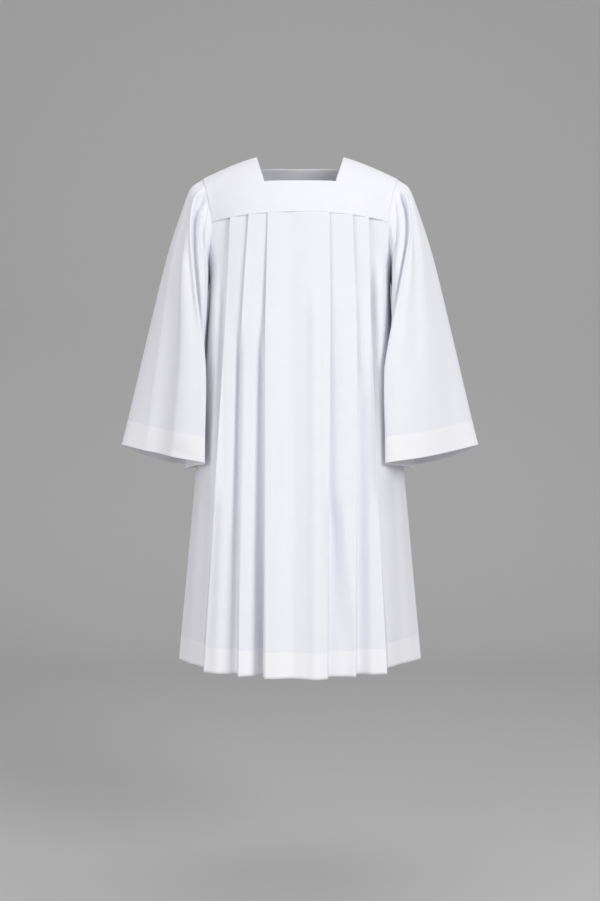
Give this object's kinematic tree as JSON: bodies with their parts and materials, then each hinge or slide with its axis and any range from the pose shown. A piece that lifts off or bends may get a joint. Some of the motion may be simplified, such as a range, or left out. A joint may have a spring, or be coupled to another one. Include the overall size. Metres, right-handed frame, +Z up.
{
  "type": "surplice",
  "caption": "White knee-length vestment with a square neck, plain yoke, knife-pleated body and wide bell sleeves, worn shape, open and hollow.",
  "frame": {"origin": "between the neck ends of the two shoulder seams, where the wearer's shoulders hold it up", "axes": "+Z up, -Y towards the garment's front, +X towards the viewer's right, which is the wearer's left"},
  "size_m": [0.7384, 0.4999, 1.0367],
  "materials": {
    "poly_cotton": "matt white plain-woven polyester-cotton, pressed",
    "hem": "the same white cloth, doubled and stitched"
  },
  "bodies": {
    "root": {"front_yoke": "poly_cotton", "back_yoke": "poly_cotton", "front_panel": "poly_cotton", "back_panel": "poly_cotton", "front_hem": "hem", "back_hem": "hem", "sleeve_left": "poly_cotton", "cuff_left": "hem", "sleeve_right": "poly_cotton", "cuff_right": "hem"}
  },
  "joints": []
}
